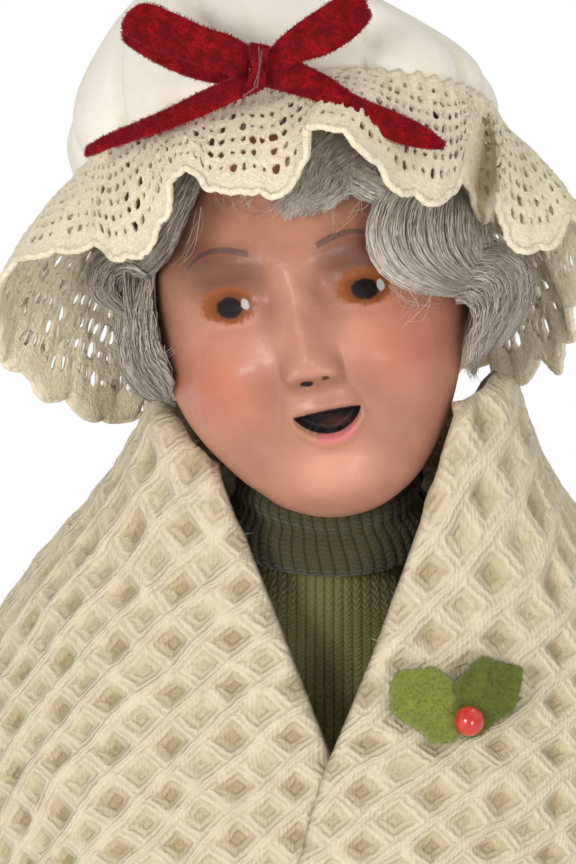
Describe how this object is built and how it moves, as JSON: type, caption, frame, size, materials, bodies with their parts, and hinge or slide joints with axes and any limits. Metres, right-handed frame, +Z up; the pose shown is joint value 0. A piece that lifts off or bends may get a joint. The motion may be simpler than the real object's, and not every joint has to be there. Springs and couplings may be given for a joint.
{
  "type": "cloth and clay doll",
  "caption": "Standing grandmother doll with a painted clay head, curled hair, lace-brimmed mob cap, velvet bow, ribbed turtleneck, holly-pinned shawl and long skirt on a round board.",
  "frame": {"origin": "centre of the underside of the felt under the round board", "axes": "+Z up, the doll faces -Y, +X towards the right of someone who faces the doll"},
  "size_m": [0.1215, 0.0976, 0.3298],
  "materials": {
    "painted_clay": "hand-painted modelling clay under a soft gloss varnish",
    "mohair": "curled gray mohair fibre",
    "muslin": "fine off-white plain weave",
    "lace": "cream crocheted cotton with open holes",
    "velvet": "deep red velvet ribbon with a pinkish sheen",
    "rib_knit": "dark olive ribbed knit",
    "shawl_cotton": "thick cream waffle weave",
    "leaf_felt": "olive green felt",
    "berry_bead": "glossy red bead",
    "skirt_cloth": "dark red wool cloth",
    "board_wood": "stained and satin varnished",
    "base_felt": "dark green felt",
    "boot_leather": "black, lightly polished",
    "wire": "annealed armature wire",
    "padding": "wound cotton and tissue padding"
  },
  "bodies": {
    "torso": {"base_felt": "base_felt", "base_board": "board_wood", "left_boot_sole": "boot_leather", "left_boot": "boot_leather", "left_leg": "padding", "left_leg_wire": "wire", "right_boot_sole": "boot_leather", "right_boot": "boot_leather", "right_leg": "padding", "right_leg_wire": "wire", "body_core": "padding", "shoulder_wire": "wire", "sweater_body": "rib_knit", "sweater_collar": "rib_knit", "left_arm_wrap": "padding", "left_upper_sleeve": "rib_knit", "right_arm_wrap": "padding", "right_upper_sleeve": "rib_knit", "skirt": "skirt_cloth", "skirt_waistband": "skirt_cloth", "skirt_padding": "padding", "shawl": "shawl_cotton", "holly_leaf_left": "leaf_felt", "holly_leaf_right": "leaf_felt", "holly_berry": "berry_bead", "holly_pin": "wire"},
    "neck": {"neck_wire": "wire"},
    "head": {"head": "painted_clay", "hair_fringe": "mohair", "hair_left": "mohair", "hair_right": "mohair", "hair_back": "mohair", "cap_crown": "muslin", "cap_gather_thread": "muslin", "cap_lace": "lace", "velvet_bow": "velvet"},
    "left_forearm": {"left_forearm_wire": "wire", "left_forearm_wrap": "padding", "left_lower_sleeve": "rib_knit"},
    "left_hand": {"left_hand": "painted_clay"},
    "right_forearm": {"right_forearm_wire": "wire", "right_forearm_wrap": "padding", "right_lower_sleeve": "rib_knit"},
    "right_hand": {"right_hand": "painted_clay"}
  },
  "joints": [
    {"name": "head_nod", "type": "hinge", "parent": "torso", "child": "neck", "pos_m": [0, -0.004, 0.251], "axis": [1, 0, 0], "range_deg": [-5, 3]},
    {"name": "head_turn", "type": "hinge", "parent": "neck", "child": "head", "pos_m": [0, -0.004, 0.251], "axis": [0, 0, 1], "range_deg": [-15, 15]},
    {"name": "left_elbow", "type": "hinge", "parent": "torso", "child": "left_forearm", "pos_m": [-0.0402, -0.001, 0.1975], "axis": [0, 0, -1], "range_deg": [-8, 30]},
    {"name": "left_wrist", "type": "hinge", "parent": "left_forearm", "child": "left_hand", "pos_m": [-0.0202, -0.036, 0.1755], "axis": [0.4539, -0.7944, -0.4037], "range_deg": [-25, 25]},
    {"name": "right_elbow", "type": "hinge", "parent": "torso", "child": "right_forearm", "pos_m": [0.0402, -0.001, 0.1975], "axis": [0, 0, 1], "range_deg": [-8, 30]},
    {"name": "right_wrist", "type": "hinge", "parent": "right_forearm", "child": "right_hand", "pos_m": [0.0202, -0.036, 0.1755], "axis": [-0.4539, -0.7944, -0.4037], "range_deg": [-25, 25]}
  ]
}
